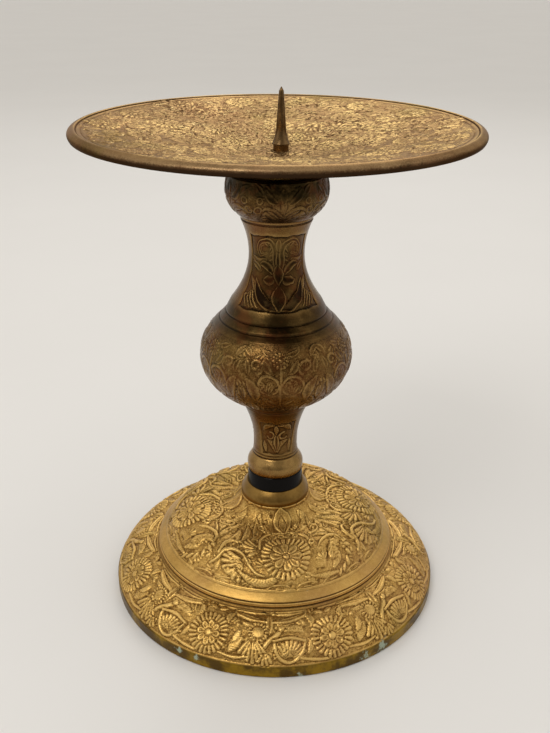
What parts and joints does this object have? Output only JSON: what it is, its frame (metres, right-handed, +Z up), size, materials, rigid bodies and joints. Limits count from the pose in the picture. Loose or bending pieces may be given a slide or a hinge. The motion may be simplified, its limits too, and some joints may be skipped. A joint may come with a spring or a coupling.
{
  "type": "pedestal candlestick",
  "caption": "Brass pedestal candlestick: chased ogee foot, waisted stem with a hollow ball knop and a wide dished drip plate that carries an upright pricket for a candle",
  "frame": {"origin": "centre of the foot's base, on the surface that the candlestick stands on", "axes": "+Z up along the turned stack's axis; the foot, stem and plate are round, and the pricket stands 1.3 mm off the axis towards +X"},
  "size_m": [0.152, 0.152, 0.212],
  "materials": {
    "chased_brass": "chased, polished on the high places and browned in the hollows",
    "stem_brass": "chased panels between turned bands, olive brown patina",
    "plate_brass": "fine engraving all over, worn pale",
    "dark_brass": "turned, dark brown patina",
    "black_lacquer": "glossy black lacquer",
    "plain_steel": "plain zinc plated"
  },
  "bodies": {
    "stand": {"foot": "chased_brass", "foot_collar": "stem_brass", "black_ring": "black_lacquer", "lower_stem": "stem_brass", "ball_knop": "stem_brass", "neck": "stem_brass", "cup": "stem_brass", "plate_seat": "stem_brass", "drip_plate": "plate_brass", "tie_rod": "plain_steel"},
    "pricket_collar": {"pricket_collar": "dark_brass"},
    "pricket": {"pricket": "dark_brass"},
    "foot_washer": {"foot_washer": "plain_steel"},
    "foot_nut": {"foot_nut": "plain_steel"}
  },
  "joints": [
    {"name": "pricket_rise", "type": "slide", "parent": "stand", "child": "pricket_collar", "axis": [0, 0, 1], "range_m": [0, 0.007]},
    {"name": "pricket_turn", "type": "hinge", "parent": "pricket_collar", "child": "pricket", "pos_m": [0.0013, 0, 0.19], "axis": [0, 0, 1], "range_deg": [0, 3600]},
    {"name": "washer_drop", "type": "slide", "parent": "stand", "child": "foot_washer", "axis": [0, 0, 1], "range_m": [-0.006, 0]},
    {"name": "nut_turn", "type": "hinge", "parent": "foot_washer", "child": "foot_nut", "pos_m": [0, 0, 0.033], "axis": [0, 0, 1], "range_deg": [-2160, 0]}
  ],
  "couplings": [
    {"joint": "pricket_turn", "follows": "pricket_rise", "rad_per_m": 8975.9},
    {"joint": "nut_turn", "follows": "washer_drop", "rad_per_m": 6283.1}
  ]
}
